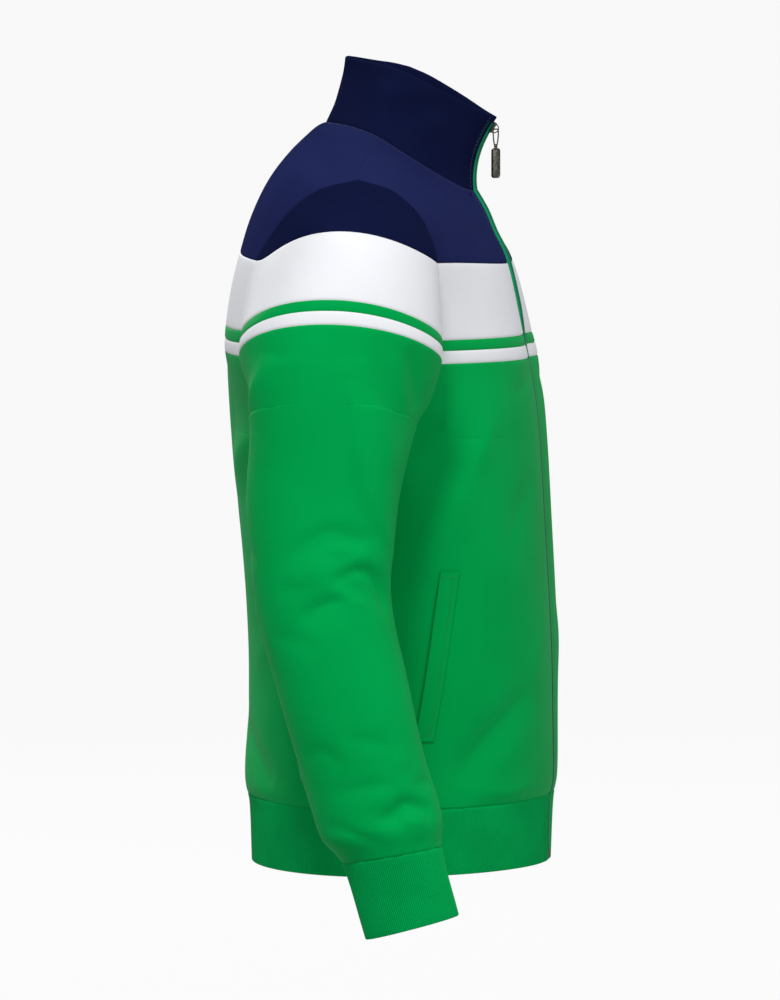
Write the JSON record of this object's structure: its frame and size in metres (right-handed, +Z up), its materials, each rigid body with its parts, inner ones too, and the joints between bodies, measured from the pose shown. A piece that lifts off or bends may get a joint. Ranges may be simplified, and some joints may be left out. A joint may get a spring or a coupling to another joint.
{
  "type": "track jacket",
  "caption": "worn-shape track jacket: hollow body and set-in sleeves in colour-blocked tricot, stand collar, full zip, welt pockets, rib cuffs and hem",
  "frame": {"origin": "midway between the two points where the shoulder seams meet the collar seam, where the shoulders of the wearer hold the jacket up", "axes": "+Z up, the front with the zip faces -Y, the right sleeve of the wearer is at -X"},
  "size_m": [0.683, 0.2917, 0.7651],
  "materials": {
    "green_tricot": "smooth warp-knit polyester with a soft sheen",
    "navy_tricot": "smooth warp-knit polyester with a soft sheen",
    "white_tricot": "smooth warp-knit polyester with a soft sheen",
    "green_rib": "one by one rib knit, matt",
    "zip_tape": "woven tape with moulded coil teeth",
    "dark_metal": "antique dark metal, satin"
  },
  "bodies": {
    "jacket": {"front_yoke_right": "navy_tricot", "front_yoke_left": "navy_tricot", "back_yoke": "navy_tricot", "front_band_right": "white_tricot", "front_band_left": "white_tricot", "back_band": "white_tricot", "front_stripe_green_right": "green_tricot", "front_stripe_green_left": "green_tricot", "back_stripe_green": "green_tricot", "front_stripe_white_right": "white_tricot", "front_stripe_white_left": "white_tricot", "back_stripe_white": "white_tricot", "front_main_right": "green_tricot", "front_main_left": "green_tricot", "back_main": "green_tricot", "sleeve_cap_right": "navy_tricot", "sleeve_band_right": "white_tricot", "sleeve_stripe_green_right": "green_tricot", "sleeve_stripe_white_right": "white_tricot", "sleeve_main_right": "green_tricot", "cuff_right": "green_rib", "sleeve_cap_left": "navy_tricot", "sleeve_band_left": "white_tricot", "sleeve_stripe_green_left": "green_tricot", "sleeve_stripe_white_left": "white_tricot", "sleeve_main_left": "green_tricot", "cuff_left": "green_rib", "hem_rib": "green_rib", "collar": "navy_tricot", "pocket_welt_right": "green_tricot", "pocket_welt_left": "green_tricot", "zip_tape_left": "zip_tape", "zip_tape_right": "zip_tape", "zip_chain": "zip_tape", "zip_box": "dark_metal", "zip_slider": "dark_metal"},
    "link": {"pull_link": "dark_metal"},
    "bar": {"pull_bar": "dark_metal"}
  },
  "joints": [
    {"name": "link_swing", "type": "hinge", "parent": "jacket", "child": "link", "pos_m": [0, -0.09576, 0.00553], "axis": [-0.6691, 0.7431, 0], "range_deg": [-6, 75]},
    {"name": "bar_swing", "type": "hinge", "parent": "link", "child": "bar", "pos_m": [0, -0.09576, -0.00977], "axis": [-0.6691, 0.7431, 0], "range_deg": [-12, 60]}
  ]
}
